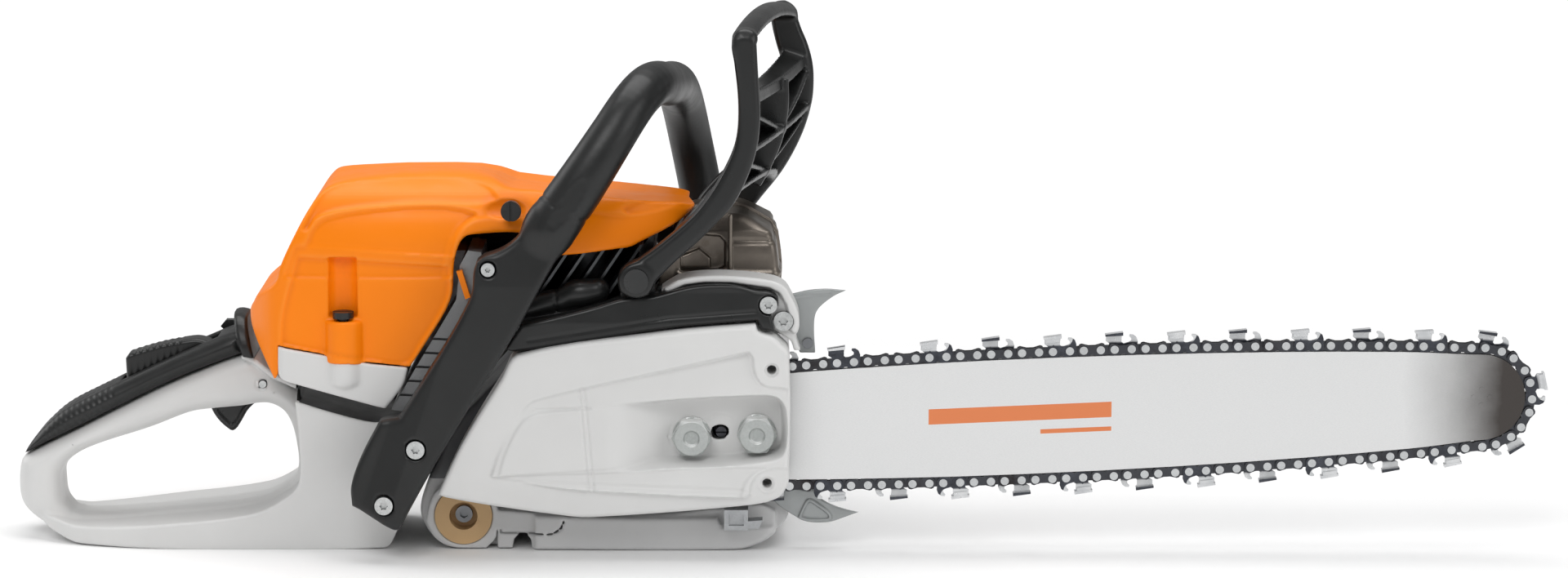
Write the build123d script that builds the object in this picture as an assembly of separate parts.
from build123d import *
from bisect import bisect_right
import math
import os

# Petrol chainsaw, 50 cc class, 16 inch (400 mm) bar, .325 inch chain. Millimetres and degrees.
# +X forward along the bar, +Y to the saw's left, +Z up.
# Origin: on the resting plane (Z 0), under the crankshaft axis (X 0), in the bar's mid-plane (Y 0).
# The bar frame (u along the bar, v across it) starts at the crank axis and is tilted by BAR_TILT.

os.makedirs("parts", exist_ok=True)

# ---------------------------------------------------------------- driving dimensions
CRANK_Z = 63.0                    # crankshaft axis height
CYL_Y = 58.0                      # cylinder axis, across the saw
CASE_Y0, CASE_Y1 = 8.0, 92.0      # crankcase faces
START_Y0, START_Y1 = 92.6, 134.0  # starter housing
COVER_Y0, COVER_Y1 = -31.0, -5.0  # sprocket cover
ARM_Y0, ARM_Y1 = -38.0, -20.0     # front handle's right arm
TOP_Y0, TOP_Y1 = -13.0, 95.0      # top cover
GRIP_Y0, GRIP_Y1 = 24.0, 66.0     # rear grip
BASE_Y0, BASE_Y1 = 0.0, 88.0      # rear handle's foot plate and fuel tank

BAR_TILT = 2.47                   # bar rises forward
BAR_T = 4.6                       # bar thickness
NOSE_U, NOSE_R = 479.6, 27.0      # nose: centre, and radius of the rivet line
STUD_U = (56.3, 91.2)             # bar studs
TENSION_U, TENSION_V = 72.0, 14.0 # tension screw, and the bar's tension holes at v +-14

# Axes along Y, as (X, Z)
GUARD_PIVOT = (27.4, 151.5)
TRIGGER_PIN = (-176.6, 85.6)
LOCKOUT_PIN = (-209.0, 101.0)
LEVER_PIN = (-177.5, 92.6)
BUFFER = (-67.2, 17.9)
ARM_TOP = (-50.2, 158.9)          # the three screws of the front handle's arm
ARM_MIDDLE = (-89.5, 62.1)
ARM_LOW = (-106.8, 31.8)
TRIM_SCREW = (97.3, 137.2)
SPIKE_SCREW = (105.2, 127.4)
FRONT_LOCK = (-38.9, 186.8)
FUEL_FILLER = (-128.0, 40.0)
OIL_FILLER = (88.0, 52.0)

# Axes along X, as (Y, Z), and along Z, as (X, Y)
INTAKE = (CYL_Y, 141.0)
PLUG = (CYL_Y, 163.5)
ROPE = (-25.0, 120.0)
REAR_LOCK = (-129.3, -8.6)


# ---------------------------------------------------------------- helpers
def polygon(points):
    return make_face(Polyline(*[Vector(*p, 0) for p in points], close=True))


def extrude_y(face, y0, y1):
    """A face drawn as (X, Z), extruded from Y y0 to Y y1."""
    return Rot(90, 0, 0) * (Pos(0, 0, -y1) * extrude(face, amount=y1 - y0))


def slab(points, y0, y1):
    """Outline as (X, Z), extruded from Y y0 to Y y1."""
    return extrude_y(polygon(points), y0, y1)


def slab_x(points, x0, x1):
    """Outline as (Y, Z), extruded from X x0 to X x1."""
    solid = extrude(polygon(points), amount=x1 - x0)
    return Plane(origin=(x0, 0, 0), x_dir=(0, 1, 0), z_dir=(1, 0, 0)).location * solid


def cyl_y(x, z, r, y0, y1):
    return Pos(x, (y0 + y1) / 2, z) * Rot(90, 0, 0) * Cylinder(r, y1 - y0)


def cyl_x(y, z, r, x0, x1):
    return Pos((x0 + x1) / 2, y, z) * Rot(0, 90, 0) * Cylinder(r, x1 - x0)


def cyl_z(x, y, r, z0, z1):
    return Pos(x, y, (z0 + z1) / 2) * Cylinder(r, z1 - z0)


def crank_cyl(r, y0, y1):
    """Cylinder on the crankshaft axis."""
    return cyl_y(0, CRANK_Z, r, y0, y1)


def crank_ring(outer_r, inner_r, y0, y1):
    """Ring on the crankshaft axis."""
    return crank_cyl(outer_r, y0, y1) - crank_cyl(inner_r, y0 - 1, y1 + 1)


def box(x0, x1, y0, y1, z0, z1):
    return Pos((x0 + x1) / 2, (y0 + y1) / 2, (z0 + z1) / 2) * Box(x1 - x0, y1 - y0, z1 - z0)


def polar(radius, degrees, x=0.0, z=0.0):
    angle = math.radians(degrees)
    return (x + radius * math.cos(angle), z + radius * math.sin(angle))


def hexagon(across_flats, x, z):
    return [polar(across_flats / math.sqrt(3), 60 * i + 30, x, z) for i in range(6)]


def inset(points, d):
    """Polygon moved inwards by d (negative moves it outwards), mitred corner by corner."""
    following = points[1:] + points[:1]
    area = sum(a[0] * b[1] - b[0] * a[1] for a, b in zip(points, following))
    turn = 1.0 if area > 0 else -1.0
    moved = []
    for before, here, after in zip(points[-1:] + points[:-1], points, following):
        a = (here[0] - before[0], here[1] - before[1])
        b = (after[0] - here[0], after[1] - here[1])
        len_a, len_b = math.hypot(*a), math.hypot(*b)
        normal_a = (-a[1] / len_a * turn, a[0] / len_a * turn)
        normal_b = (-b[1] / len_b * turn, b[0] / len_b * turn)
        # the floor keeps sharp corners from shooting out
        k = max(1 + normal_a[0] * normal_b[0] + normal_a[1] * normal_b[1], 0.35)
        moved.append((here[0] + (normal_a[0] + normal_b[0]) / k * d,
                      here[1] + (normal_a[1] + normal_b[1]) / k * d))
    return moved


def bar_to_saw(u, v):
    """Bar frame point to (X, Z)."""
    cos_tilt, sin_tilt = math.cos(math.radians(BAR_TILT)), math.sin(math.radians(BAR_TILT))
    return (u * cos_tilt - v * sin_tilt, CRANK_Z + u * sin_tilt + v * cos_tilt)


def in_bar(shape):
    """A shape drawn with u along X and v along Z, put in place on the saw."""
    return Pos(0, 0, CRANK_Z) * Rot(0, -BAR_TILT, 0) * shape


def rounded(shape, edges, *radii):
    """Rounds the edges with the first radius that works."""
    for r in radii:
        # guards against a fillet that fails at this radius
        try:
            out = fillet(edges, r)
            if out.is_valid and out.volume > 0:
                return out
        except Exception:
            pass
    return shape


def screw(x, z, head_r, head_y, head_h, shank_r, end_y, socket_r):
    """Pan-head screw pointing left, with its head's outer face at head_y and a star socket."""
    solid = cyl_y(x, z, head_r, head_y, head_y + head_h)
    solid += cyl_y(x, z, shank_r, head_y + head_h, end_y)
    star = [polar(socket_r * (1, 0.72)[i % 2], 30 * i, x, z) for i in range(12)]
    return solid - slab(star, head_y - 0.5, head_y + head_h * 0.65)


def group(shapes):
    return Compound(children=[s for shape in shapes for s in shape.solids()])


def save(name, shape):
    """Writes a piece's solids, leaving out boolean slivers."""
    solids = [s for s in shape.solids() if s.volume > 0.02]
    whole = Compound(children=solids) if len(solids) > 1 else solids[0]
    export_step(whole, f"parts/{name}.step")


def piece(build):
    """Decorator: builds the piece and saves it under the function's name."""
    save(build.__name__, build())
    return build


STUDS = [bar_to_saw(u, 0) for u in STUD_U]
TENSION_SCREW = bar_to_saw(TENSION_U, 0)

# ---------------------------------------------------------------- chain path (bar frame)
N_LINKS = 67
SPROCKET_R = 19.0         # rivet circle on the 7-tooth rim
# (u, half height of the rivet line) along the bar
RAIL_STATIONS = [(40, 28.3), (111, 32.8), (170, 34.2), (228, 34.75), (300, 34.3),
                 (360, 33), (410, 31.2), (450, 29.1), (NOSE_U, NOSE_R)]
RAIL_END_SLOPE = -0.030


def rail_half(u):
    """Half height of the rivet line at u: piecewise cubic through the stations."""
    spans = list(zip(RAIL_STATIONS, RAIL_STATIONS[1:]))
    steps = [(b[1] - a[1]) / (b[0] - a[0]) for a, b in spans]
    slopes = steps[:1] + [0.5 * (a + b) for a, b in zip(steps, steps[1:])] + [RAIL_END_SLOPE]
    i = next(k for k, (a, b) in enumerate(spans) if u <= b[0])
    (u0, v0), (u1, v1) = spans[i]
    h = u1 - u0
    t = (u - u0) / h
    return ((2 * t**3 - 3 * t**2 + 1) * v0 + (t**3 - 2 * t**2 + t) * h * slopes[i]
            + (-2 * t**3 + 3 * t**2) * v1 + (t**3 - t**2) * h * slopes[i + 1])


def chain_path(step=0.5):
    """Closed loop of the rivet line, from the rear of the sprocket along the top and back."""
    rail_u, rail_v = RAIL_STATIONS[0][0], rail_half(RAIL_STATIONS[0][0])
    leave = math.atan2(rail_v, rail_u) + math.acos(SPROCKET_R / math.hypot(rail_u, rail_v))
    upper = []
    angle = math.pi
    while angle > leave:
        upper.append((SPROCKET_R * math.cos(angle), SPROCKET_R * math.sin(angle)))
        angle -= step / SPROCKET_R
    u0, v0 = SPROCKET_R * math.cos(leave), SPROCKET_R * math.sin(leave)
    n = int(math.hypot(rail_u - u0, rail_v - v0) / step)
    upper += [(u0 + (rail_u - u0) * i / n, v0 + (rail_v - v0) * i / n) for i in range(n)]
    u = rail_u
    while u < NOSE_U:
        upper.append((u, rail_half(u)))
        u += step
    angle = math.pi / 2
    while angle > 0:
        upper.append((NOSE_U + NOSE_R * math.cos(angle), NOSE_R * math.sin(angle)))
        angle -= step / NOSE_R
    return upper + [(p[0], -p[1]) for p in reversed(upper)]


PATH = chain_path()
PATH_NEXT = PATH[1:] + PATH[:1]
ARC = [0.0]               # arc length at each path point
for p, q in zip(PATH, PATH_NEXT):
    ARC.append(ARC[-1] + math.hypot(q[0] - p[0], q[1] - p[1]))
LOOP = ARC[-1]


def path_point(arc):
    arc = arc % LOOP
    i = bisect_right(ARC, arc) - 1
    t = (arc - ARC[i]) / (ARC[i + 1] - ARC[i])
    a, b = PATH[i], PATH_NEXT[i]
    return (a[0] + (b[0] - a[0]) * t, a[1] + (b[1] - a[1]) * t)


# ---------------------------------------------------------------- guide bar
STRAP_H = 6.2             # chain strap height; the straps ride on the bar's edge
RAIL_GAP = 0.22
RAIL_START_U = 44.0
GROOVE_W, GROOVE_D = 1.7, 7.0
RACE_R = 6.9              # race in the nose
SLOT_U, SLOT_R = (56.0, 97.2), 4.1


def bar_face(inner=0.0, tail=True):
    """Bar outline moved inwards, with its pointed tail or a plain one further back."""
    edge = []
    for p, q in zip(PATH, PATH_NEXT):
        if p[0] < RAIL_START_U:
            continue
        t = (q[0] - p[0], q[1] - p[1])
        length = math.hypot(*t)
        nose = min(1.0, max(0.0, (p[0] - (NOSE_U - 30)) / 30.0))
        rear = min(1.0, max(0.0, (190.0 - p[0]) / 60.0))
        d = STRAP_H / 2 + RAIL_GAP + inner + 0.40 * nose + 0.32 * rear
        edge.append((p[0] + t[1] / length * d, p[1] - t[0] / length * d))

    def thin(points, every):
        return points[::every] + ([points[-1]] if (len(points) - 1) % every else [])

    nose_u = NOSE_U - 8
    points = thin([p for p in edge if p[1] > 0 and p[0] < nose_u], 40)
    points += thin([p for p in edge if p[0] >= nose_u], 12)
    points += thin([p for p in edge if p[1] < 0 and p[0] < nose_u], 40)
    rim = Spline(*[Vector(*p, 0) for p in points])
    top, bottom = rim @ 0, rim @ 1
    if tail:
        middle = [(bottom.X - 7, bottom.Y + 4), (31, -14), (31, 14), (top.X - 7, top.Y - 4)]
    else:
        middle = [(20, bottom.Y), (20, top.Y)]
    back = Polyline(bottom, *[Vector(*p, 0) for p in middle], top)
    return make_face([*rim.edges(), *back.edges()])


@piece
def guide_bar():
    """Grooved bar with its stud slot, tension holes and four rivet heads per side at the nose."""
    bar = extrude_y(bar_face(), -BAR_T / 2, BAR_T / 2)
    g = GROOVE_W / 2
    groove = extrude_y(bar_face(-1.5, False), -g, g) - extrude_y(bar_face(GROOVE_D, False), -2, 2)
    groove += box(25, 52, -g, g, 17, 48) + box(25, 52, -g, g, -48, -17)
    groove += cyl_y(NOSE_U, 0, 18.2, -g, g) - cyl_y(NOSE_U, 0, RACE_R, -3, 3)
    bar -= groove
    slot = cyl_y(SLOT_U[0], 0, SLOT_R, -5, 5) + cyl_y(SLOT_U[1], 0, SLOT_R, -5, 5)
    slot += box(*SLOT_U, -5, 5, -SLOT_R, SLOT_R)
    bar -= slot
    for v in (-TENSION_V, TENSION_V):
        bar -= cyl_y(TENSION_U, v, 3.05, -5, 5)
        bar -= cyl_y(102.0, v * 1.45, 1.6, -5, 5)
    rivets = []
    for i in range(4):
        x, z = polar(4.3, 90 * i - BAR_TILT, NOSE_U)
        rivets.append(in_bar(cyl_y(x, z, 1.3, -BAR_T / 2 - 0.25, -BAR_T / 2 - 0.01)))
        rivets.append(in_bar(cyl_y(x, z, 1.3, BAR_T / 2 + 0.01, BAR_T / 2 + 0.25)))
    return group([in_bar(bar)] + rivets)


@piece
def nose_sprocket():
    """11-tooth star that turns on the race in the bar's nose."""
    star = [polar((17.0, 16.2, 13.6, 16.2)[i % 4], 360 / 44 * i, NOSE_U) for i in range(44)]
    return in_bar(slab(star, -0.75, 0.75) - cyl_y(NOSE_U, 0, RACE_R + 0.07, -3, 3))


# ---------------------------------------------------------------- saw chain
# Links are drawn along +X, which is forward on the top run; "right" links lie at -Y.
HALF = 9.10 / 2                         # half the rivet spacing in a side link
DRIVE_HALF = (LOOP / N_LINKS) / 2 - HALF
H = STRAP_H / 2
SIDE_Y0, SIDE_Y1 = 0.88, 2.32           # side link faces, either side of the mid-plane
DRIVE_Y = 0.8                           # half thickness of a drive link
RIVET_R, RIVET_HOLE_R = 1.70, 1.76
FIRST_CUTTER_U = 189.5                  # centre of a right-hand cutter on the top run
# Outlines as (along the link, across it)
LINK_FOOT = [(-HALF - 2.2, -H + 0.5), (-HALF - 0.8, -H), (-1.4, -H), (-0.7, -H + 0.6),
             (0.7, -H + 0.6), (1.4, -H), (HALF + 0.8, -H), (HALF + 2.2, -H + 0.5),
             (HALF + 3.0, -1.2)]
LINK_HEEL = [(-HALF - 3.0, 1.2), (-HALF - 3.0, -1.2)]
STRAP = LINK_FOOT + [
    (HALF + 3.0, 1.2), (HALF + 2.0, H - 0.4), (HALF + 0.8, H - 0.05), (1.8, H - 1.0),
    (-1.8, H - 1.0), (-HALF - 0.8, H - 0.05), (-HALF - 2.0, H - 0.4)] + LINK_HEEL
# depth gauge at the front, side plate at the heel
CUTTER = LINK_FOOT + [
    (HALF + 3.2, 1.0), (HALF + 3.6, 3.6), (HALF + 2.9, 5.8), (HALF + 1.2, 7.1),
    (HALF - 0.6, 7.25), (HALF - 0.9, 6.4), (HALF + 0.2, 5.2), (HALF + 0.1, 3.9),
    (HALF - 1.3, 3.1), (0.6, 2.4), (-0.6, 3.3), (-0.5, 5.6), (-0.1, 7.6),
    (-HALF - 4.2, 6.7), (-HALF - 4.4, 4.2), (-HALF - 2.6, 2.9)] + LINK_HEEL
CUTTER_TOP = [(-HALF - 4.7, 6.9), (-HALF - 4.7, 8.0), (0.3, 8.9), (0.3, 7.2)]
CUTTER_SIDE = [(-HALF - 3.6, 4.9), (-HALF - 3.9, 7.4), (-0.8, 7.9), (-1.0, 5.4)]
DRIVE = [(-DRIVE_HALF - 2.7, -2.2), (-DRIVE_HALF - 2.6, 1.4), (-DRIVE_HALF - 1.2, 2.5),
         (-1.0, 2.2), (1.0, 2.2), (DRIVE_HALF + 1.2, 2.5), (DRIVE_HALF + 2.6, 1.4),
         (DRIVE_HALF + 2.7, -2.2), (DRIVE_HALF + 1.9, -4.2), (1.9, -8.6), (0.8, -9.3),
         (-1.6, -9.3), (-2.4, -7.4), (-DRIVE_HALF - 0.9, -4.6)]


def link(outline, half_spacing, y0, y1):
    """Flat link with its two rivet holes."""
    shape = slab(outline, y0, y1)
    for x in (-half_spacing, half_spacing):
        shape -= cyl_y(x, 0, RIVET_HOLE_R, y0 - 1, y1 + 1)
    return shape


def side_link(outline, side):
    return link(outline, HALF, *sorted((side * SIDE_Y0, side * SIDE_Y1)))


def cutter(side):
    """Side link whose top plate folds in over the drive links; side is -1 right, 1 left."""
    top = slab(CUTTER_TOP, *sorted((side * 3.6, side * -1.3)))
    plate = slab(CUTTER_SIDE, *sorted((side * 3.4, side * (SIDE_Y0 + 0.1))))
    return side_link(CUTTER, side) + top + plate


def chain_rivet():
    rivet = cyl_y(0, 0, RIVET_R, -SIDE_Y1 - 0.08, SIDE_Y1 + 0.08)
    rivet += cyl_y(0, 0, 2.2, -SIDE_Y1 - 0.55, -SIDE_Y1 - 0.03)
    return rivet + cyl_y(0, 0, 2.2, SIDE_Y1 + 0.03, SIDE_Y1 + 0.55)


def on_chord(shape, p, q):
    """Puts a link on the chord from p to q (bar frame)."""
    angle = math.degrees(math.atan2(q[1] - p[1], q[0] - p[0]))
    return in_bar(Pos((p[0] + q[0]) / 2, 0, (p[1] + q[1]) / 2) * Rot(0, -angle, 0) * shape)


def saw_chain():
    """Lists of placed links and rivets, by piece name."""
    straps = {side: side_link(STRAP, side) for side in (-1, 1)}
    cutters = {side: cutter(side) for side in (-1, 1)}
    drive = link(DRIVE, DRIVE_HALF, -DRIVE_Y, DRIVE_Y)
    rivet = chain_rivet()
    start = ARC[min(range(len(PATH) // 2), key=lambda i: abs(PATH[i][0] - FIRST_CUTTER_U))]
    ties, cuts, drives, rivets = [], [], [], []
    for i in range(N_LINKS):
        centre = start + i * LOOP / N_LINKS
        a, b = path_point(centre - HALF), path_point(centre + HALF)
        # cutters alternate right and left with a tie between; the odd last link is a tie
        cutter_side = {0: -1, 2: 1}.get(i % 4) if i < N_LINKS - 1 else None
        for side in (-1, 1):
            if side == cutter_side:
                cuts.append(on_chord(cutters[side], a, b))
            else:
                ties.append(on_chord(straps[side], a, b))
        drives.append(on_chord(drive, b, path_point(centre + HALF + 2 * DRIVE_HALF)))
        rivets += [in_bar(Pos(p[0], 0, p[1]) * rivet) for p in (a, b)]
    return {"chain_tie_straps": ties, "chain_cutters": cuts,
            "chain_drive_links": drives, "chain_rivets": rivets}


for name, links in saw_chain().items():
    save(name, group(links))

# ---------------------------------------------------------------- crankcase with oil tank
CLUTCH_POCKET_R = 38.5
# Outlines as (X, Z); BAR_PAD and TENSION_POCKET as (u, v)
CASE = [(-89, 12), (-85, 5.5), (-79, 1.6), (-73, 0), (79.5, 0), (93, 3.6), (103, 9.8), (108, 18),
        (108, 104), (103, 112), (-34, 112), (-46, 94), (-88.5, 27), (-91, 19)]
BAR_PAD = [(40, -21), (103, -23), (103, 23), (40, 21)]
TENSION_POCKET = [(55, -19), (90, -19), (90, -9), (55, -9)]
REAR_LUG = [(-87.5, 15), (-84, 7), (-78, 2), (-70, 0), (-55, 0), (-50, 6), (-49, 22), (-52, 31),
            (-60, 35), (-70, 36), (-78, 34), (-84, 28)]
FOOT_SLOT = [(-40.2, -1), (-31, -1), (-31.5, 5), (-34, 7.5), (-37, 7.5), (-39.6, 5)]
CASE_FOOT = [(-49, 0), (79.5, 0), (93, 3.6), (101, 8.5), (101, 20), (92, 24), (20, 17), (-49, 21)]


@piece
def crankcase():
    case = slab(CASE, CASE_Y0, CASE_Y1)
    case -= crank_cyl(CLUTCH_POCKET_R, CASE_Y0 - 1, 28.0)
    case -= crank_cyl(9.5, 20, CASE_Y1 + 1)                             # shaft bore
    case -= crank_cyl(17.55, 31, 43) + crank_cyl(17.55, 73, 85)         # bearing seats
    case -= crank_cyl(14.0, 28, 31.5) + crank_cyl(14.0, 84.5, 93)       # seal seats
    case -= crank_cyl(33.0, 43.4, 72.6)                                 # crank chamber
    case -= cyl_z(0, CYL_Y, 24.2, 80, 120)                              # cylinder spigot
    case -= cyl_y(22, CRANK_Z - 23, 9.2, 20, 40)                        # pump pocket
    case -= box(48, 102, 16, 84, 8, 38)                                 # oil tank
    case -= box(46, 100, 18, 84, 72, 106)                               # front hollow
    case -= slab([(-80, 8), (-34, 8), (-34, 26), (-74, 26)], 36, 84)    # rear hollow
    case += slab([bar_to_saw(*p) for p in BAR_PAD], 2.5, CASE_Y0 + 0.5)
    case -= crank_cyl(CLUTCH_POCKET_R, 0, 28.0)
    case -= slab([bar_to_saw(*p) for p in TENSION_POCKET], 1, 15)
    case -= cyl_y(*TENSION_SCREW, 5.0, 1, 16)
    for stud in STUDS:
        case -= cyl_y(*stud, 4.0, 1, 24)
    # rear lug with its buffer seat, the slot under the case, and the foot
    case += slab(REAR_LUG, 1.0, CASE_Y0 + 0.5)
    case -= cyl_y(*BUFFER, 15.6, 0, 12)
    case -= slab(FOOT_SLOT, 0, CASE_Y1 + 1)
    slot = slab([(-41.5, -1), (-29.5, -1), (-29.5, 9), (-41.5, 9)], 0, CASE_Y1 + 1)
    case += slab(CASE_FOOT, 1.0, CASE_Y0 + 0.5) - slot
    # ledge under the sprocket cover
    case += slab([(-29, 0), (60, 0), (62, 2), (62, 16.5), (-29, 17.5)], -3.0, 1.5)
    case -= cyl_y(*BUFFER, 4.2, -1, 30)
    case -= cyl_y(*OIL_FILLER, 14.6, CASE_Y1 - 8, CASE_Y1 + 1)
    case -= cyl_y(88.0, 30.0, 5.0, 70, 86)
    return case


@piece
def av_buffer():
    """Rubber buffer in the rear lug."""
    sleeve = cyl_y(*BUFFER, 15.4, 0.4, 11.8)
    return sleeve - cyl_y(*BUFFER, 7.6, -1, 9.0) - cyl_y(*BUFFER, 4.3, -1, 13)


# ---------------------------------------------------------------- crank train, at top dead centre
BORE_R = 22.4
STROKE = 32.0
ROD_LEN = 60.0
PIN_Z = CRANK_Z + STROKE / 2
WRIST_Z = PIN_Z + ROD_LEN
RING_HEIGHTS = (12.6, 15.4)             # above the wrist pin


def crank_web(y0, y1):
    """Disc with both upper shoulders cut away."""
    web = crank_cyl(31.0, y0, y1)
    for side in (-1, 1):
        corners = [(40, 6), (13, 6), (9, 40), (40, 40)]
        web -= slab([(side * x, CRANK_Z + z) for x, z in corners], y0 - 1, y1 + 1)
    return web


@piece
def crankshaft():
    crank = crank_cyl(6.0, -9.5, 31) + crank_cyl(8.0, 30, 44.2)
    crank += crank_cyl(8.0, 71.8, 88) + crank_cyl(7.0, 87, 112)
    crank -= crank_ring(7.0, 5.0, -7.9, -6.9)           # clip groove
    return crank + crank_web(44, 52.8) + crank_web(63.2, 72)


@piece
def main_bearings():
    return group([crank_ring(17.5, 8.05, 31.2, 42.8), crank_ring(17.5, 8.05, 73.2, 84.4)])


@piece
def piston():
    body = cyl_z(0, CYL_Y, BORE_R - 0.06, WRIST_Z - 11, WRIST_Z + 18)
    body -= cyl_z(0, CYL_Y, BORE_R - 3.0, WRIST_Z - 12, WRIST_Z + 13)
    bosses = (box(-7, 7, CYL_Y - 21, CYL_Y - 9, WRIST_Z - 6.5, WRIST_Z + 14)
              + box(-7, 7, CYL_Y + 9, CYL_Y + 21, WRIST_Z - 6.5, WRIST_Z + 14))
    body += bosses & cyl_z(0, CYL_Y, BORE_R - 0.5, WRIST_Z - 12, WRIST_Z + 17)
    body -= cyl_y(0, WRIST_Z, 5.02, CYL_Y - 30, CYL_Y + 30)
    for k in RING_HEIGHTS:
        groove = Cylinder(BORE_R + 1, 1.25) - Cylinder(BORE_R - 1.6, 2)
        body -= Pos(0, CYL_Y, WRIST_Z + k) * groove
    return body


@piece
def piston_rings():
    ring = Cylinder(BORE_R - 0.02, 1.15) - Cylinder(BORE_R - 1.5, 2)
    return group([Pos(0, CYL_Y, WRIST_Z + k) * ring for k in RING_HEIGHTS])


@piece
def connecting_rod():
    """Rod with its crank pin and hollow wrist pin."""
    rod = cyl_y(0, PIN_Z, 10.5, 53.8, 62.2) + cyl_y(0, WRIST_Z, 7.5, 53.8, 62.2)
    rod += box(-4.5, 4.5, 55, 61, PIN_Z + 6, WRIST_Z - 4)
    rod -= cyl_y(0, PIN_Z, 5.1, 50, 66) + cyl_y(0, WRIST_Z, 5.05, 50, 66)
    wrist_pin = cyl_y(0, WRIST_Z, 4.98, CYL_Y - 20.5, CYL_Y + 20.5)
    wrist_pin -= cyl_y(0, WRIST_Z, 3.0, CYL_Y - 30, CYL_Y + 30)
    return group([rod, cyl_y(0, PIN_Z, 5.05, 53.4, 62.6), wrist_pin])


# ---------------------------------------------------------------- cylinder
FIN_X0, FIN_PITCH, FIN_T, FIN_LEAN = -58.0, 9.2, 1.7, 31.5
FIN_Z0, FIN_Z1 = 119.0, 165.5
FIN_BOUNDS = [(-40, 119), (38, 119), (38, 160), (30, 165.4), (-30, 165.4), (-40, 150)]
FIN_BASE = [(-36, 118.5), (36, 118.5), (36, 124), (20, 128), (-20, 128), (-36, 124)]


@piece
def cylinder():
    """Barrel with fins that lean forward towards their tops."""
    barrel = cyl_z(0, CYL_Y, 26.5, 112, 171) + cyl_z(0, CYL_Y, 24.0, 97, 113)
    barrel += box(-31, 31, CYL_Y - 31, CYL_Y + 31, 112.2, 117)
    fins = None
    for i in range(10):
        x = FIN_X0 + FIN_PITCH * i
        fin = slab([(x, FIN_Z0), (x + FIN_T, FIN_Z0), (x + FIN_T + FIN_LEAN, FIN_Z1),
                    (x + FIN_LEAN, FIN_Z1)], 5, 91)
        fins = fin if fins is None else fins + fin
    fins = fins & slab(FIN_BOUNDS, 5, 91)
    barrel += fins
    barrel += slab(FIN_BASE, 10, 90)
    barrel -= cyl_z(0, CYL_Y, BORE_R, 90, 160.5)
    dome = Sphere(17) & Pos(0, 0, 10) * Box(60, 60, 20)
    barrel -= Pos(0, CYL_Y, 160.5) * dome & box(-30, 30, CYL_Y - 30, CYL_Y + 30, 160, 168)
    # intake boot seat and port
    barrel -= cyl_x(*INTAKE, 15.0, -70, -26)
    barrel -= cyl_x(*INTAKE, 9.0, -40, 0) & box(-40, -10, 0, 120, 100, 200)
    # spark plug opening at the rear, muffler opening and port at the front
    barrel -= box(-70, -27, CYL_Y - 12, CYL_Y + 12, 152, 180)
    barrel -= box(31, 45, CYL_Y - 15, CYL_Y + 15, 121, 152)
    barrel -= box(10, 45, CYL_Y - 10, CYL_Y + 10, 128, 142)
    return barrel


@piece
def spark_plug():
    return cyl_x(*PLUG, 8.0, -32, -27.2) + cyl_x(*PLUG, 5.0, -47, -31)


@piece
def spark_plug_boot():
    boot = cyl_x(*PLUG, 8.2, -60, -33) - cyl_x(*PLUG, 5.1, -47.5, -32)
    return boot + cyl_y(-54, PLUG[1], 4.0, CYL_Y + 4, CYL_Y + 18.5)


@piece
def intake_boot():
    return cyl_x(*INTAKE, 14.0, -60.5, -27.0) - cyl_x(*INTAKE, 10.0, -62, -26)


# ---------------------------------------------------------------- muffler
MUFFLER_WALL = 1.8
# Side view (X, Z), then outer and inner cross-sections (Y, Z)
MUFFLER = [(47, 114), (100, 114), (103, 144), (102.5, 155), (101, 166), (98, 171.5),
           (83.5, 179.5), (72, 182), (52, 178), (46.5, 168)]
MUFFLER_OUTER = [(8.6, 114), (8.6, 160), (11, 172), (18, 182), (76, 182), (88, 168), (90, 150),
                 (90, 114)]
MUFFLER_INNER = [(10.4, 115.8), (10.4, 160), (12.6, 171), (19, 180.2), (75, 180.2),
                 (86.5, 167.2), (88.2, 149.5), (88.2, 115.8)]


@piece
def muffler():
    shell = slab(MUFFLER, 8.6, 90) & slab_x(MUFFLER_OUTER, 40, 110)
    shell -= slab(inset(MUFFLER, MUFFLER_WALL), 10.4, 88.2) & slab_x(MUFFLER_INNER, 40, 110)
    shell -= box(96, 106, 26, 62, 124, 136)                     # opening in the front wall
    shell -= box(40, 50, CYL_Y - 10, CYL_Y + 10, 125, 145)      # opening towards the cylinder
    return shell


# ---------------------------------------------------------------- flywheel and ignition
@piece
def flywheel():
    wheel = crank_ring(47.5, 7.05, 96, 100) + crank_ring(16.0, 7.05, 95, 110)
    wheel += crank_ring(47.5, 42.0, 96, 108)
    for i in range(14):
        wheel += Pos(0, 0, CRANK_Z) * Rot(0, 360 / 14 * i, 0) * box(22, 43, 99.5, 109, -1.1, 1.1)
    return wheel


@piece
def ignition_module():
    body = box(-18, 18, 96, 108, 113.2, 121.6)
    return body + box(-16, -10, 98, 106, 111.4, 114) + box(10, 16, 98, 106, 111.4, 114)


# ---------------------------------------------------------------- starter
HOUSING_Z = 67.0
HOUSING_RX, HOUSING_RZ = 60.0, 62.0
HOUSING = [(HOUSING_RX * math.cos(math.radians(10 * i)),
            HOUSING_Z + HOUSING_RZ * math.sin(math.radians(10 * i))) for i in range(36)]
HOUSING_INNER = [(x * 0.955, HOUSING_Z + (z - HOUSING_Z) * 0.96) for x, z in HOUSING]
# Cross-section (Y, Z): chamfers the outer face
HOUSING_SECTION = [(80, -5), (80, 140), (START_Y1 - 8, 140), (START_Y1, 124), (START_Y1, 12),
                   (START_Y1 - 8, -5)]
PIVOT_LUG = [(14, 116), (40, 116), (36, 150), (33, 157), (22, 157), (19, 150)]


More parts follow.
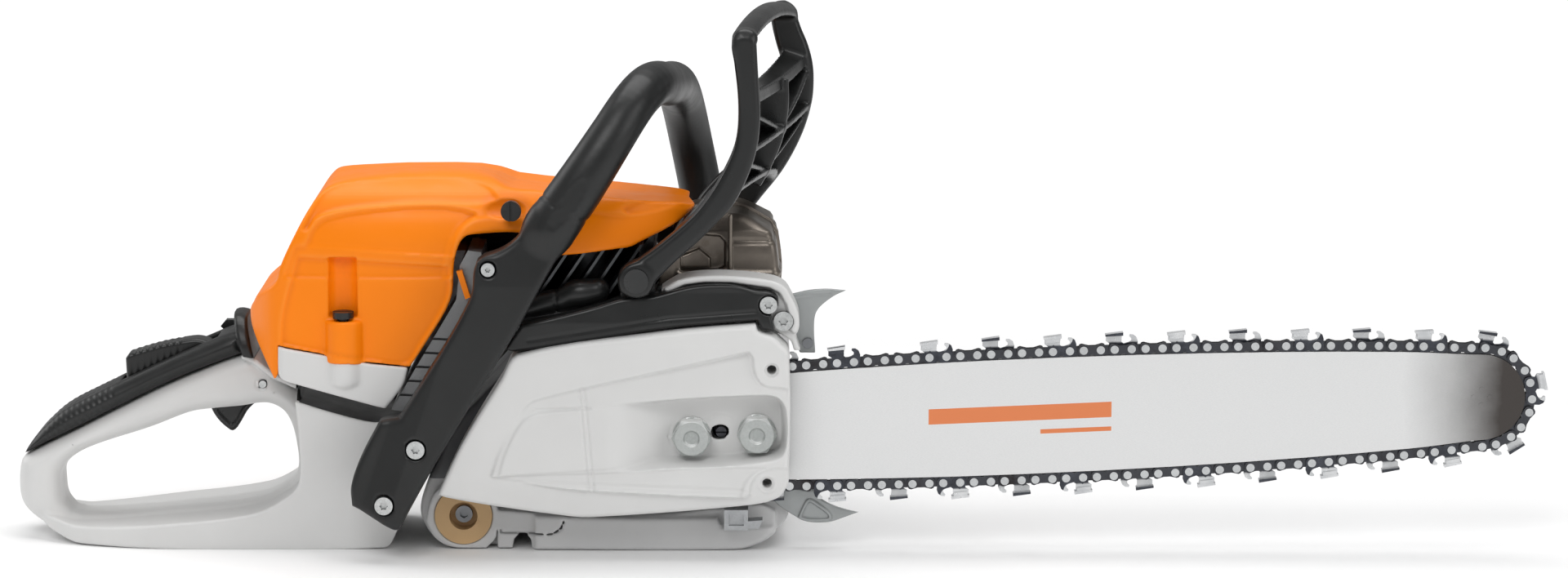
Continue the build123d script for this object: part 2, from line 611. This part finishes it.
@piece
def starter_housing():
    shell = slab(HOUSING, START_Y0, START_Y1)
    shell -= slab(HOUSING_INNER, START_Y0 - 1, START_Y1 - 3)
    shell &= slab_x(HOUSING_SECTION, -90, 90)
    # two columns of vent slots, shorter beside the crank axis
    for i in range(9):
        z = 34 + i * 7.5
        width = 26 if abs(z - CRANK_Z) > 22 else 20
        for side in (-1, 1):
            x0, x1 = sorted((side * 24, side * (24 + width)))
            shell -= box(x0, x1, START_Y1 - 4, START_Y1 + 1, z, z + 3.6)
    shell += crank_cyl(6.0, 114, START_Y1 - 2)
    shell += slab(PIVOT_LUG, START_Y0, 95.6)
    shell -= cyl_y(*GUARD_PIVOT, 4.06, 80, 120)
    shell -= cyl_z(*ROPE, 4.0, 110, 140)
    return shell


@piece
def starter_pulley():
    flanges = crank_ring(30.0, 6.05, 114.4, 117.4) + crank_ring(30.0, 6.05, 122.6, 125.6)
    return flanges + crank_ring(21.5, 6.05, 114.4, 125.6)


@piece
def starter_rope():
    return crank_ring(26.9, 21.7, 118.0, 122.0) + cyl_z(*ROPE, 1.75, CRANK_Z, 128.9)


@piece
def starter_grip():
    x, y = ROPE[0], ROPE[1] + 1
    grip = Pos(x, y, 141.5) * Rot(0, 90, 0) * Cylinder(8.2, 62)
    grip += cyl_z(x, y, 8.0, 129.2, 140)
    circles = [e for e in grip.edges() if e.geom_type == GeomType.CIRCLE]
    grip = rounded(grip, circles, 2.5, 1.5)
    grip -= cyl_z(*ROPE, 2.2, 120, 139)
    return grip


@piece
def rewind_spring():
    turns, pitch, thickness, steps = 4, 2.4, 0.7, 16
    outer, inner = [], []
    for i in range(turns * steps + 1):
        angle = 360 * i / steps
        r = 9.5 + pitch * i / steps
        outer.append(polar(r, angle, 0, CRANK_Z))
        inner.append(polar(r - thickness, angle, 0, CRANK_Z))
    return slab(outer + inner[::-1], 126.2, 130.4)


# ---------------------------------------------------------------- clutch and drive sprocket
@piece
def rim_sprocket():
    """7-tooth rim: two flanges on a thin sleeve, notched all round."""
    rim = crank_ring(15.2, 8.65, -4.6, -1.15) + crank_ring(15.2, 8.65, 1.15, 4.6)
    rim += crank_ring(9.1, 8.65, -4.6, 4.6)
    for i in range(7):
        rim -= cyl_y(*polar(13.0, 360 / 7 * i, 0, CRANK_Z), 1.7, -6, 6)
    return rim


@piece
def shaft_hardware():
    """Flywheel nut at the left end; washer and open clip at the right end."""
    nut = slab(hexagon(13, 0, CRANK_Z), 110.1, 113.4) - crank_cyl(7.04, 100, 120)
    clip = crank_ring(9.0, 5.05, -7.75, -7.05)
    clip -= slab([(-3.5, CRANK_Z - 14), (3.5, CRANK_Z - 14), (3.5, CRANK_Z), (-3.5, CRANK_Z)],
                 -9, -6)
    return group([nut, crank_ring(13.0, 6.1, -6.6, -5.1), clip])


@piece
def clutch():
    """Hub, three shoes and the round posts in the gaps between them."""
    posts = [polar(23, 120 * k, 0, CRANK_Z) for k in range(3)]
    shoes = []
    for k in range(3):
        angles = range(120 * k + 5, 120 * k + 116, 11)
        sector = [(0, CRANK_Z)] + [polar(40, a, 0, CRANK_Z) for a in angles]
        shoe = crank_ring(33.2, 13.6, 12.6, 23.4) & slab(sector, 12.6, 23.4)
        for post in posts:
            shoe = shoe - cyl_y(*post, 4.6, 10, 26)
        shoes.append(shoe)
    hub = crank_ring(13.0, 6.05, 12.2, 24.0)
    return group(shoes + [hub] + [cyl_y(*post, 4.2, 15, 21) for post in posts])


@piece
def clutch_drum():
    """Drum with six holes in its floor, and the washer to its left."""
    drum = crank_ring(35.5, 33.9, 9.2, 25.0) + crank_ring(35.5, 7.5, 9.2, 11.0)
    drum = drum + crank_ring(8.6, 7.5, -4.9, 10.0)
    for i in range(6):
        drum -= cyl_y(*polar(20, 60 * i, 0, CRANK_Z), 4.0, 5, 12)
    return group([drum, crank_ring(11.0, 6.1, 25.2, 27.6)])


@piece
def oil_pump():
    z = CRANK_Z - 23
    return cyl_y(22, z, 9.0, 28.4, 39.6) + box(18, 26, 29, 39, z - 3, z + 3)


@piece
def brake_band():
    """Band round the drum, open at the upper front."""
    near, far = CRANK_Z + 20, CRANK_Z + 60
    gap = slab([(20, near), (60, near), (60, far), (20, far)], 0, 30)
    return crank_ring(37.4, 36.3, 11, 23) - gap


# ---------------------------------------------------------------- bar fixings and tensioner
NUT_FACE_Y = -24.2                      # outer face of the bar nuts
SPINDLE = (10.2, -TENSION_V)            # (Y, v)


@piece
def bar_studs():
    return group([cyl_y(*stud, 3.95, -21.5, 23.5) for stud in STUDS])


@piece
def bar_nuts():
    nuts = []
    for x, z in STUDS:
        nut = slab(hexagon(18.6, x, z), NUT_FACE_Y, -15.6)
        nut = nut & (Pos(x, -20, z) * Rot(90, 0, 0) * Cylinder(10.2, 20))
        nut += cyl_y(x, z, 10.3, -15.8, -14.2)
        nut -= cyl_y(x, z, 4.05, -30, 0) & box(0, 200, -23.0, 0, 0, 200)
        rim = [e for e in nut.edges() if abs(e.center().Y - NUT_FACE_Y) < 0.05]
        nuts.append(rounded(nut, rim, 0.8, 0.5))
    return group(nuts)


@piece
def tension_slider():
    slider = in_bar(box(68.5, 75.5, 6.2, 13.4, -18.0, -10.0))
    slider += cyl_y(*bar_to_saw(TENSION_U, -TENSION_V), 2.9, -1.8, 7)
    slider -= in_bar(cyl_x(*SPINDLE, 2.05, 50, 100))
    return slider


@piece
def tension_spindle():
    return in_bar(cyl_x(*SPINDLE, 1.95, 56, 89) + cyl_x(*SPINDLE, 4.2, 86.4, 89.2))


@piece
def tension_screw():
    x, z = TENSION_SCREW
    body = cyl_y(x, z, 2.9, -9, 14) + cyl_y(x, z, 4.6, 8, 14)
    return body - box(x - 4, x + 4, -10, -7, z - 0.6, z + 0.6)


# ---------------------------------------------------------------- sprocket cover
COVER = [(-78.8, 35.5), (-51, 29.5), (-18, 24.6), (2, 22.8), (86.4, 29.5), (102, 33.5),
         (107, 39.8), (108.2, 45), (108.2, 112), (104.2, 117.1), (99.5, 121.1), (92.1, 123.7),
         (90.4, 127.8), (45.9, 124), (-36.3, 111.2), (-44.4, 98.8), (-65.2, 64.6)]
NUT_POCKET = [(38, 51), (103, 56.2), (106, 66), (105.6, 79), (101.5, 88), (38, 86.5)]
POCKET_WALL = 2.4


@piece
def sprocket_cover():
    shell = slab(COVER, COVER_Y0, COVER_Y1) - slab(inset(COVER, 2.8), COVER_Y0 + 3, COVER_Y1 + 1)
    shell -= box(100, 112, -4.9, 5, 30, 118)
    # walls end at the front, where bar and chain leave
    shell -= box(104, 112, -12, 0, 46, 110)
    # recess for the bar nuts, with its floor and wall
    shell -= slab(NUT_POCKET, COVER_Y0 - 1, -14)
    around = inset(NUT_POCKET, -POCKET_WALL)
    shell += slab(around, -14.0, -11.0) & slab(COVER, -40, 0)
    wall = slab(around, -30.9, -11.0) - slab(NUT_POCKET, -40, -5)
    shell += wall & slab(COVER, -40, 0)
    for stud in STUDS:
        shell += cyl_y(*stud, 10.5, -12, -2.6)
        shell -= cyl_y(*stud, 4.3, -40, 0)
    shell -= cyl_y(*TENSION_SCREW, 3.6, -40, 0)
    for x, z in ((99.0, 103.5), (96.5, 42.1)):
        shell += cyl_y(x, z, 5.0, -29, -8) & slab(COVER, -40, 0)
        shell -= cyl_y(x, z, 2.5, -40, -10)
    return shell


# ---------------------------------------------------------------- front handle
TUBE_R = 12.0
ARM = [(-124.2, 30.5), (-119.6, 28), (-101.7, 18.2), (-98.5, 18.6), (-93.2, 28.9),
       (-79.6, 53.3), (-66.1, 75.8), (-51.7, 99.1), (-42.7, 113.9), (-33.8, 128.6),
       (-23.1, 148), (-11.1, 168.9), (-4.5, 181), (-25.5, 189.5), (-32.6, 178),
       (-38.1, 172.4), (-45, 168.1), (-52.3, 165.6), (-56.2, 163), (-57.9, 157),
       (-58.5, 148.5), (-60.1, 143), (-65.1, 133), (-72.6, 119.7), (-83.3, 102.7),
       (-95, 83.9), (-98.2, 79), (-108.7, 76.7), (-119.2, 56.9), (-124.6, 40.9)]
# Tube centre line (X, Y, Z), from the arm over the top to the lower left
TUBE = [(-17.5, -28.5, 180), (6, -28, 216.4), (28, -12, 241.6), (41, 55, 241.6),
        (48, 126, 229), (53.5, 148.5, 199), (58.5, 150.8, 172.8), (70, 151.5, 60),
        (73, 138, 18.5), (73, 118, 13), (73, 94.5, 13)]


@piece
def front_handle():
    arm = slab(ARM, ARM_Y0, ARM_Y1)
    path = Spline(*[Vector(*p) for p in TUBE])
    profile = Plane(origin=path @ 0, z_dir=path % 0) * Circle(TUBE_R)
    handle = arm.fuse(sweep(profile, path=path))
    for point, head_r in ((ARM_TOP, 4.2), (ARM_MIDDLE, 5.3), (ARM_LOW, 5.3)):
        handle -= cyl_y(*point, head_r, ARM_Y0 - 1, ARM_Y0 + 3.4)
        handle -= cyl_y(*point, 2.6, ARM_Y0 - 1, ARM_Y1 + 1)
    return handle


# ---------------------------------------------------------------- brake housing, trim, spikes
BRAKE_HOUSING = [
    (-34.5, 126.4), (2.1, 133.2), (19.9, 138.8), (34, 140), (42, 145.5), (50, 150), (62, 152),
    (78, 152), (98.6, 149.6), (105.7, 146.4), (109.3, 140.9), (113, 132.4), (113.6, 124.8),
    (112, 118.4), (114.2, 111), (110.8, 111), (108.9, 116.2), (104.6, 119), (100.2, 122.2),
    (93, 124.8), (91, 128.8), (45.8, 125), (-36.9, 112.2), (-41, 113)]
HOUSING_LUG = [(18, 134), (38, 141), (36, 150), (33, 157), (22, 157), (19, 150)]
TRIM = [(-34.7, 125.2), (2.1, 131.6), (19.9, 137.4), (33.5, 138.6), (48.9, 146), (61.4, 148),
        (79.6, 147.2), (89.9, 143.9), (98.5, 143.2), (102, 138.5), (97.5, 132), (100.6, 123.6),
        (93.2, 125.6), (91.3, 129.2), (45.8, 125.2), (-37, 112.4), (-43.1, 114.2)]
# The arm's front edge, closed behind it
ARM_CLEARANCE = [ARM[0]] + ARM[3:11] + [(-60, 150)]
SPIKE_UPPER = [(98, 130), (100, 138.5), (108.3, 138.4), (119, 140.6), (128.8, 141.3),
               (139, 140.5), (132.3, 137.4), (125.1, 131.9), (122.3, 127.4), (121.6, 119.3),
               (122.3, 106.6), (114.1, 106.6), (110, 114), (100, 118)]
SPIKE_LOWER = [(84, 36), (107.2, 33.8), (116.9, 31.3), (122.6, 32), (123.8, 28.1), (129.3, 24),
               (138.6, 20.6), (146.9, 19), (138.6, 16.2), (131.2, 13.7), (123.2, 13.1),
               (115.8, 14.3), (111, 17), (103.4, 22), (98, 26.5), (86, 27.5)]
SPIKE_BOSS = [(120.6, 27.6), (133, 19.6), (131.5, 17.4), (124, 15.8), (118.6, 17.6), (117.4, 20)]


@piece
def brake_housing():
    body = slab(BRAKE_HOUSING, -12.0, 4.4)
    body -= cyl_y(*TRIM_SCREW, 2.6, -20, 10) + cyl_y(*SPIKE_SCREW, 3.1, -20, 10)
    body += slab(HOUSING_LUG, -12, -6)
    body -= cyl_y(*GUARD_PIVOT, 4.06, -20, 10)
    return body


@piece
def brake_trim():
    trim = slab(TRIM, -24.0, -12.4)
    trim -= cyl_y(*TRIM_SCREW, 5.2, -30, -18.0) + cyl_y(*TRIM_SCREW, 2.6, -30, 0)
    trim -= slab(inset(ARM_CLEARANCE, -0.7), -50, -19)
    return trim


@piece
def bumper_spikes():
    upper = slab(SPIKE_UPPER, 4.6, 7.6) - cyl_y(*SPIKE_SCREW, 3.1, 0, 10)
    lower = slab(SPIKE_LOWER, 4.6, 7.6) & box(80, 160, 4, 8, 0, 60)
    lower += slab(SPIKE_BOSS, 3.6, 5.0)
    return group([upper, lower])


@piece
def chain_catcher():
    block = slab([(73.4, 13.1), (86.2, 13.1), (86.2, 24.2), (73.4, 24.2)], -13, 0.8)
    block = block + slab([(86.2, 18), (94, 18.6), (92, 14), (86.2, 14)], -13, -4)
    return block - slab([(76, 15.6), (84, 15.6), (84, 21.8), (76, 21.8)], -14, -11.5)


# ---------------------------------------------------------------- rear handle with fuel tank
GRIP_LOW = [
    (-309.6, 41.6), (-306.1, 45.6), (-277.2, 60), (-236.3, 80.6), (-214.8, 90.3),
    (-187.9, 100.5), (-179.1, 98.7), (-166.3, 86.7), (-157, 80), (-150, 60), (-150, 4),
    (-276, 0), (-290, 4.5), (-301.4, 10), (-309, 18), (-311, 28.1)]
HAND_HOLE = [
    (-288.3, 35.5), (-281.4, 44), (-269.4, 50.2), (-239.2, 60), (-217.5, 68.5), (-207.3, 70.3),
    (-190, 72), (-175.6, 73.8), (-167.3, 70.4), (-162.6, 63.6), (-159.6, 51.4), (-159, 38),
    (-164.5, 27.6), (-181.2, 19), (-234.3, 13), (-274, 10.6), (-283, 12.6), (-287.6, 19),
    (-288.8, 28)]
HANDLE_FOOT = [
    (-300, 11), (-290, 4.5), (-276, 0), (-110, 0), (-102.8, 9.9), (-97, 22), (-81.5, 48),
    (-79.5, 58), (-83, 69), (-92, 72.5), (-108, 72), (-114.5, 71.4), (-144.1, 78.4),
    (-157, 80), (-155.2, 60), (-155.5, 36), (-163.5, 27.2), (-181.2, 18.7), (-234.3, 12.7),
    (-276.9, 9.6)]
FUEL_TANK = [(-150, 6), (-150, 71), (-116, 63.5), (-99, 63.5), (-92, 50), (-108, 22), (-114, 6)]
FOOT_HOLLOW = [(-299, 12.5), (-276, 5.2), (-165, 5.2), (-165, 16.5), (-234, 8.6), (-276.9, 6.4)]
TRIGGER_WELL = [(-215, 60), (-215, 82), (-196, 92.5), (-168.5, 92.5), (-168.5, 60)]
TRIGGER_WELL_LOW = [(-168.6, 60), (-168.6, 71.5), (-175, 76), (-190, 74), (-190, 60)]
GRIP_TOP = [
    (-309.2, 42.6), (-306.1, 46.2), (-277.2, 60.6), (-236.3, 81.2), (-214.8, 90.9),
    (-187.9, 101.1), (-186.6, 112.6), (-192.1, 113.6), (-207.2, 107.8), (-230, 98),
    (-252.9, 87), (-268.6, 79.4), (-286.7, 69.7), (-299, 58.7), (-306.4, 49)]
LOCKOUT_WELL = [(-255, 74.5), (-255, 112), (-202, 116), (-202, 97.8), (-215, 93)]
COLLAR = [(-192.6, 122.4), (-186.2, 121.6), (-181.6, 101.5), (-180.4, 95.6), (-186.4, 101.8),
          (-186.1, 113.4), (-193.2, 114.6)]
TRIGGER = [(-207, 70.4), (-207.3, 68.4), (-196.6, 56.6), (-194.6, 56), (-192.6, 57.2),
           (-190.4, 61.6), (-186.5, 66.6), (-180.5, 70.6), (-171.6, 73.6), (-170.6, 80),
           (-170.6, 88.6), (-176, 91.2), (-184.5, 90.2), (-200, 78.5)]
LOCKOUT = [(-252.6, 84), (-252.8, 97.4), (-251.2, 99.4), (-246, 101.2), (-232.6, 105.2),
           (-220, 107.4), (-213, 108), (-206, 106.4), (-204.6, 101), (-208.5, 98), (-217, 98.2),
           (-236, 91.2)]
LEVER = [(-204, 109.5), (-201, 113), (-196, 113), (-184, 99), (-176.5, 97.5), (-173, 92.5),
         (-176, 88), (-181.5, 88.5), (-190, 96)]


@piece
def rear_handle_housing():
    body = slab(GRIP_LOW, GRIP_Y0, GRIP_Y1) - slab(HAND_HOLE, GRIP_Y0 - 1, GRIP_Y1 + 1)
    body += slab(HANDLE_FOOT, BASE_Y0, BASE_Y1)
    body -= slab(FUEL_TANK, 5, 83)
    body -= slab(FOOT_HOLLOW, 6, 22)
    # bosses and holes for the front handle's arm
    body += cyl_y(*ARM_MIDDLE, 8.0, ARM_Y1 + 0.2, 3) + cyl_y(*ARM_LOW, 8.0, ARM_Y1 + 0.2, 3)
    body -= cyl_y(*ARM_MIDDLE, 2.6, -30, 12) + cyl_y(*ARM_LOW, 2.6, -30, 12)
    body -= slab(TRIGGER_WELL, 37, 53)
    body -= slab(TRIGGER_WELL_LOW, 37, 53)
    body -= cyl_y(*TRIGGER_PIN, 2.06, GRIP_Y0 - 1, GRIP_Y1 + 1)
    body -= cyl_y(*FUEL_FILLER, 17.0, BASE_Y1 - 8, BASE_Y1 + 1)
    return body


@piece
def rear_grip():
    """Upper half of the grip, with the collar at its front end."""
    grip = slab(GRIP_TOP, GRIP_Y0, GRIP_Y1)
    grip -= slab(LOCKOUT_WELL, 36.5, 53.5)
    grip -= cyl_y(*LOCKOUT_PIN, 1.55, 26, 64)
    return grip + (slab(COLLAR, 20, 66.8) - slab(inset(GRIP_LOW, -0.4), 0, 90))


@piece
def throttle_trigger():
    return slab(TRIGGER, 38, 52) - cyl_y(*TRIGGER_PIN, 2.06, 30, 60)


@piece
def trigger_lockout():
    return slab(LOCKOUT, 37.2, 52.8) - cyl_y(*LOCKOUT_PIN, 1.55, 30, 60)


@piece
def master_lever():
    """Lever on the left of the rear grip."""
    return slab(LEVER, 67.4, 73.4) - cyl_y(*LEVER_PIN, 1.6, 60, 80)


# ---------------------------------------------------------------- carburettor side
CARB_BOX = [(-163.8, 111.8), (-162.4, 97), (-157.5, 92.4), (-113.3, 80.6), (-106.3, 79),
            (-100.6, 89.5), (-94.4, 100.4), (-118, 103.2), (-126, 103.4), (-139.4, 107.2)]
CARB_BOX_INNER = [(-160.8, 140), (-159.6, 98.6), (-156, 95.2), (-113, 83.8), (-108, 82.8),
                  (-103.2, 91), (-96, 103.2), (-90, 140)]
FLANGE = [(-104.6, 77.6), (-93, 76.2), (-80, 82), (-53, 128), (-55.5, 163), (-62.6, 164),
          (-67, 156), (-69.2, 137.4), (-84, 112.6), (-92, 99.2)]
SHUTTER = [(-68.6, 153.4), (-65.6, 154), (-61.4, 139.6), (-64, 138.4)]


@piece
def carburettor_box():
    """Open-topped tray."""
    tray = slab(CARB_BOX, TOP_Y0 + 1, TOP_Y1 - 1)
    return tray - slab(CARB_BOX_INNER, TOP_Y0 + 4, TOP_Y1 - 4)


@piece
def air_filter():
    block = box(-156, -106, 22, 90, 112.5, 160)
    return rounded(block, block.edges(), 6, 4)


@piece
def carburetor():
    body = box(-98, -64.5, 42, 74, 126, 156) - cyl_x(*INTAKE, 9, -110, -50)
    body += cyl_y(-82, 151, 3, 36, 43) + box(-90, -74, 36, 38, 146, 157)
    return body


@piece
def intermediate_flange():
    """Wall between carburettor and cylinder, with five slots in its right face."""
    wall = slab(FLANGE, -6, 90) - cyl_x(*INTAKE, 15.0, -100, -40)
    wall -= box(-100, -40, CYL_Y - 20, CYL_Y + 20, 124, 180)
    for k in range(5):
        x, z = -94.0 + 4.6 * k, 84.0 + 7.6 * k
        wall -= slab([(x - 12, z + 1.5), (x + 14, z + 0.2), (x + 14, z + 1.6), (x - 12, z + 2.9)],
                     -7, -2.5)
    return wall


@piece
def winter_shutter():
    return slab(SHUTTER, -10.5, -6.6)


# ---------------------------------------------------------------- top cover
TOP_WALL = 2.6
# Side view (X, Z)
TOP = [(-167.6, 88), (-163.9, 98), (-164.2, 112.6), (-139.4, 108.3), (-126, 104.5),
       (-118, 104.3), (-94, 101.7), (-86.3, 113.2), (-72, 137.9), (-69.8, 158), (-66.9, 168.1),
       (-63.4, 172.3), (-58.6, 173.3), (-37.8, 174.2), (-30, 172), (-22, 163.4),
       (-11.1, 161.9), (23.6, 167), (51.4, 180.6), (60.4, 186.4), (50.2, 188.8), (30.3, 190.4),
       (7.8, 192.6), (-24, 195.3), (-40.8, 196.2), (-51, 200.2), (-59.8, 202), (-73.5, 202.6),
       (-96, 201.9), (-123, 199.8), (-135.4, 197.4), (-139.9, 195), (-144.8, 189.5),
       (-150.3, 180.6), (-158.6, 164.4), (-162.7, 155), (-165.1, 147.3), (-176.4, 137.9),
       (-179.1, 133.4), (-181.9, 127.5), (-180, 118)]
TOP_INNER = [
    (-165.4, 80), (-165.4, 84), (-163, 93.5), (-97, 90), (-66, 132), (-56, 165), (-30, 165),
    (-10, 150), (24, 155), (52, 178), (54, 185.6), (49.6, 186.2), (30, 187.8), (7.6, 190),
    (-24, 192.7), (-41.2, 193.6), (-51.6, 197.6), (-60.2, 199.4), (-73.5, 200), (-96, 199.3),
    (-123, 197.2), (-134.4, 195), (-137.9, 193.2), (-142.4, 188.2), (-147.8, 179.6),
    (-156.1, 163.4), (-160.2, 154), (-162.9, 145.7), (-174.2, 136.3), (-176.7, 132.4),
    (-179.1, 127.1), (-177.4, 118.4)]
# Cross-section (Y, Z)
SECTION = [
    (TOP_Y0, 80), (TOP_Y0, 168), (TOP_Y0 + 5, 184), (TOP_Y0 + 14, 194), (TOP_Y0 + 34, 201.5),
    (CYL_Y - 10, 203), (TOP_Y1 - 30, 201.5), (TOP_Y1 - 12, 194), (TOP_Y1 - 4, 183),
    (TOP_Y1, 168), (TOP_Y1, 80)]
SECTION_INNER = [
    (TOP_Y0 + TOP_WALL, 70), (TOP_Y0 + TOP_WALL, 167), (TOP_Y0 + 7.2, 182),
    (TOP_Y0 + 15.5, 191.4), (TOP_Y0 + 34.5, 198.8), (CYL_Y - 10, 200.2),
    (TOP_Y1 - 30.5, 198.8), (TOP_Y1 - 13.5, 191.4), (TOP_Y1 - 6.4, 181),
    (TOP_Y1 - TOP_WALL, 167), (TOP_Y1 - TOP_WALL, 70)]
# Plan (X, Y)
PLAN = [(-182.5, 16), (-182.5, 66), (-166, 84), (-160, TOP_Y1), (12, TOP_Y1), (40, 90), (61, 82),
        (61, 2), (30, -8), (10, TOP_Y0), (-160, TOP_Y0), (-166, -2)]
PLAN_INNER = [(x + (TOP_WALL if x < -100 else -TOP_WALL), y + (TOP_WALL if y < 40 else -TOP_WALL))
              for x, y in PLAN]
# Clears the space below the cover (X, Z)
UNDERSIDE = [(-163, 84), (-163, 118), (-90, 118), (-60, 160), (60, 160), (60, 80), (-60, 80)]
ALCOVE = [(-139.5, 112), (-119, 107), (-119, 163.5), (-139.5, 163.5)]


def cover_block(side, section, plan, y0, y1):
    """Side view, cross-section and plan intersected."""
    return slab(side, y0, y1) & slab_x(section, -200, 80) & extrude(polygon(plan), amount=220)


@piece
def top_cover():
    y0, y1 = TOP_Y0 + TOP_WALL, TOP_Y1 - TOP_WALL
    shell = cover_block(TOP, SECTION, PLAN, TOP_Y0, TOP_Y1)
    shell -= cover_block(TOP_INNER, SECTION_INNER, PLAN_INNER, y0, y1)
    shell -= box(-170, 70, y0, y1, 70, 160) & slab(UNDERSIDE, y0, y1)
    # recess for the rear lock, in the right wall
    shell += box(-139.5, -119.0, TOP_Y0, 0.2, 106, 163.5) & slab(ALCOVE, -20, 10)
    shell -= box(-137.0, -121.5, TOP_Y0 - 1, -2.2, 128.0, 161.0)
    shell -= cyl_z(*REAR_LOCK, 2.7, 100, 130)
    shell -= cyl_y(*FRONT_LOCK, 3.1, -30, 0) + cyl_y(*FRONT_LOCK, 6.2, -30, -11.8)
    return shell


@piece
def cover_lock_rear():
    """Upright quarter-turn lock with a slotted head."""
    lock = cyl_z(*REAR_LOCK, 5.6, 128.2, 131.6) + cyl_z(*REAR_LOCK, 2.6, 108.0, 129.0)
    return lock - box(-135.5, -123.0, -9.3, -7.9, 130.2, 133)


@piece
def cover_lock_front():
    """Crosswise quarter-turn lock with a slotted head."""
    lock = cyl_y(*FRONT_LOCK, 5.4, -17.4, -13.2) + cyl_y(*FRONT_LOCK, 3.0, -13.5, -4.0)
    return lock - box(-39.6, -38.2, -18, -16.0, 180, 195)


# ---------------------------------------------------------------- hand guard (brake lever)
GUARD_RIGHT = [
    (92.5, 296), (84.8, 290.2), (79.4, 281), (77.8, 275.6), (80.2, 262.7), (81.9, 246.1),
    (81.9, 235.4), (79.8, 223.8), (72.8, 207.9), (61.7, 190.4), (49.8, 180.6), (34.5, 169.5),
    (22, 159.5), (19.2, 151.5), (21, 145.6), (27.4, 143), (34, 145), (40, 153.4),
    (47.5, 160.1), (59.9, 171.7), (71.4, 182.4), (79.7, 193), (88, 210.5), (91.7, 223.8),
    (93, 237.8), (92.5, 250.3), (91.8, 262.7), (90.5, 276.7), (97, 286)]
GUARD_LEFT = [
    (106, 287), (100, 286), (94, 281), (93.5, 276), (98, 264), (103.5, 250), (105, 236),
    (102, 222), (96, 207), (86, 190), (70, 176), (45, 166), (24, 160), (19.4, 151.5),
    (21, 146), (27.4, 143), (34, 145.5), (60, 158), (83.1, 166), (94.8, 178.6),
    (106.1, 193.4), (115.6, 211.8), (120.9, 229.3), (121.9, 243.2), (120.9, 252.8),
    (118.2, 262.3), (115.2, 269.4), (113, 275), (110.5, 281.7)]
GUARD_RIGHT_Y = (-28.0, -15.2)
GUARD_LEFT_Y = (97.6, 107.6)
# Crossbars, top to bottom: section at the right plate, section at the left plate (X, Z)
CROSSBARS = [
    ([(79.6, 279), (92, 279), (95.6, 288), (84.8, 290)],
     [(95, 272.5), (111, 272.5), (111, 280.5), (98, 284)]),
    ([(84, 243), (92.5, 243), (91.5, 256.5), (86, 257.5)],
     [(108, 240), (119, 240), (118.5, 250), (110, 252)]),
    ([(82, 222), (91, 222), (92.5, 232), (84, 233)],
     [(104, 214), (114, 214), (117, 224), (108, 225)]),
    ([(74, 203), (83, 203), (86, 210), (78, 212)],
     [(92, 190), (103, 190), (106, 198), (97, 200)])]


@piece
def hand_guard():
    guard = slab(GUARD_RIGHT, *GUARD_RIGHT_Y) + slab(GUARD_LEFT, *GUARD_LEFT_Y)
    for right, left in CROSSBARS:
        ends = ((right, GUARD_RIGHT_Y[1] - 2), (left, GUARD_LEFT_Y[0] + 2))
        guard += loft([Rot(90, 0, 0) * (Pos(0, 0, -y) * polygon(points)) for points, y in ends])
    guard -= cyl_y(*GUARD_PIVOT, 4.06, -60, 160)
    return guard


# ---------------------------------------------------------------- screws, pins and caps
@piece
def body_screws():
    socket = slab(hexagon(4.0, *BUFFER), 4, 7.2)
    return group([
        cyl_y(*BUFFER, 4.6, 5.2, 8.8) + cyl_y(*BUFFER, 3.9, 8.5, 28) - socket,
        screw(*TRIM_SCREW, 4.6, -21.6, 3.4, 2.5, 4.0, 2.3),
        screw(*SPIKE_SCREW, 5.2, -15.2, 3.0, 3.0, 7.4, 2.6),
        cyl_y(118.2, 112.0, 2.8, 3.2, 4.55),            # stub against the upper spike
        screw(*ARM_TOP, 3.6, ARM_Y0 + 0.3, 3.0, 2.4, -7.0, 1.6),
        screw(*ARM_MIDDLE, 4.8, ARM_Y0 + 0.2, 3.1, 2.5, 2.8, 2.3),
        screw(*ARM_LOW, 4.8, ARM_Y0 + 0.2, 3.1, 2.5, 2.8, 2.3),
        # hand guard pivots, right and left
        cyl_y(*GUARD_PIVOT, 4.0, -28.6, -6.6) + cyl_y(*GUARD_PIVOT, 6.5, -30.4, -28.3),
        cyl_y(*GUARD_PIVOT, 4.0, 93.4, 108.4) + cyl_y(*GUARD_PIVOT, 6.5, 108.0, 109.8),
        # rear handle pins
        cyl_y(*LEVER_PIN, 1.54, GRIP_Y1 + 0.3, 73.6),
        cyl_y(*TRIGGER_PIN, 2.0, GRIP_Y0 - 0.2, GRIP_Y1 + 0.2),
        cyl_y(*LOCKOUT_PIN, 1.5, 26.4, 63.6)])


def filler_cap(x, z, r, face_y):
    """Cap on a filler mouth in the left face, with a grip slot and a fluted rim."""
    cap = cyl_y(x, z, r, face_y + 0.3, face_y + 6.5)
    cap = cap + cyl_y(x, z, r * 0.84, face_y - 6.5, face_y + 1)
    cap -= box(x - r * 0.86, x + r * 0.86, face_y + 3.3, face_y + 8, z - 3.4, z + 3.4)
    for i in range(18):
        cap -= cyl_y(*polar(r + 0.6, 20 * i, x, z), 1.1, face_y - 1, face_y + 8)
    return cap


save("fuel_cap", filler_cap(*FUEL_FILLER, 20.0, BASE_Y1))
save("oil_cap", filler_cap(*OIL_FILLER, 17.0, CASE_Y1))
